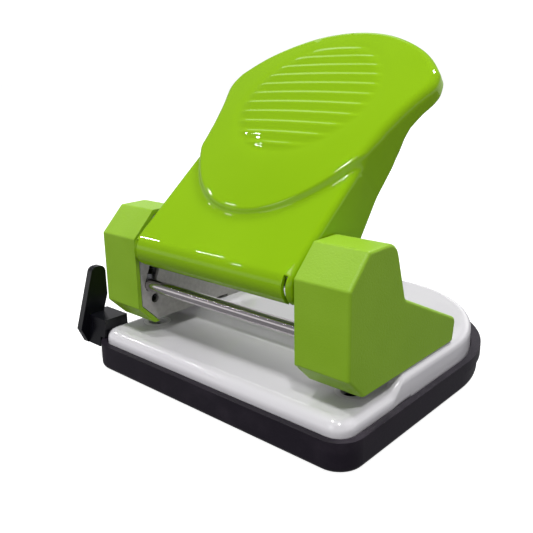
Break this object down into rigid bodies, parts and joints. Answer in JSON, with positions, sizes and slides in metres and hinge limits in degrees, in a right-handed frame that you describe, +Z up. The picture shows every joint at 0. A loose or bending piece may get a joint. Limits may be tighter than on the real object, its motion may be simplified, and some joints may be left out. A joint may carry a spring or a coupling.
{
  "type": "two-hole punch",
  "caption": "Desk hole punch: a pressed steel lever presses sprung pins through paper over dies in a base plate, with a chip tray below and a slide-out paper guide.",
  "frame": {"origin": "middle of the chip tray's flat underside, on the desk", "axes": "+X across the paper to the right, +Y the way the paper goes in, +Z up"},
  "size_m": [0.1125, 0.1072, 0.1064],
  "materials": {
    "handle_enamel": "gloss",
    "cover_plastic": "satin, fine grain",
    "plate_enamel": "gloss",
    "tray_plastic": "soft satin",
    "guide_plastic": "gloss",
    "bracket_enamel": "satin",
    "chromed_rod": "polished",
    "plain_steel": "ground",
    "spring_steel": "drawn"
  },
  "bodies": {
    "base": {"base_plate": "plate_enamel", "fulcrum_axle": "plain_steel", "tie_rod": "chromed_rod", "guide_rail": "plain_steel", "guide_spring": "spring_steel", "left_bracket": "bracket_enamel", "left_cover": "cover_plastic", "left_pin_bush": "plain_steel", "left_die": "plain_steel", "left_return_spring": "spring_steel", "left_pivot_washer": "plain_steel", "left_cover_screw": "plain_steel", "left_axle_ring": "spring_steel", "left_tie_ring": "spring_steel", "left_bracket_inner_rivet": "plain_steel", "left_bracket_outer_rivet": "plain_steel", "right_bracket": "bracket_enamel", "right_cover": "cover_plastic", "right_pin_bush": "plain_steel", "right_die": "plain_steel", "right_return_spring": "spring_steel", "right_pivot_washer": "plain_steel", "right_cover_screw": "plain_steel", "right_axle_ring": "spring_steel", "right_tie_ring": "spring_steel", "right_bracket_inner_rivet": "plain_steel", "right_bracket_outer_rivet": "plain_steel"},
    "handle": {"handle": "handle_enamel", "drive_rod": "plain_steel", "left_drive_ring": "spring_steel", "right_drive_ring": "spring_steel"},
    "left_punch": {"left_pin": "plain_steel"},
    "right_punch": {"right_pin": "plain_steel"},
    "paper_guide": {"paper_guide": "guide_plastic"},
    "chip_tray": {"chip_tray": "tray_plastic"}
  },
  "joints": [
    {"name": "handle_press", "type": "hinge", "parent": "base", "child": "handle", "pos_m": [0, -0.0424, 0.0423], "axis": [-1, 0, 0], "range_deg": [0, 40]},
    {"name": "left_punch_slide", "type": "slide", "parent": "base", "child": "left_punch", "axis": [0, 0, -1], "range_m": [0, 0.0063], "stiffness_N_per_m": 700, "springref_m": -0.006, "deforming": ["left_return_spring"]},
    {"name": "right_punch_slide", "type": "slide", "parent": "base", "child": "right_punch", "axis": [0, 0, -1], "range_m": [0, 0.0063], "stiffness_N_per_m": 700, "springref_m": -0.006, "deforming": ["right_return_spring"]},
    {"name": "guide_slide", "type": "slide", "parent": "base", "child": "paper_guide", "axis": [-1, 0, 0], "range_m": [0, 0.07]},
    {"name": "tray_pull_off", "type": "slide", "parent": "base", "child": "chip_tray", "axis": [0, 0, -1], "range_m": [0, 0.025]}
  ],
  "couplings": [
    {"joint": "left_punch_slide", "follows": "handle_press", "m_per_rad": 0.0090143},
    {"joint": "right_punch_slide", "follows": "handle_press", "m_per_rad": 0.0090143}
  ]
}
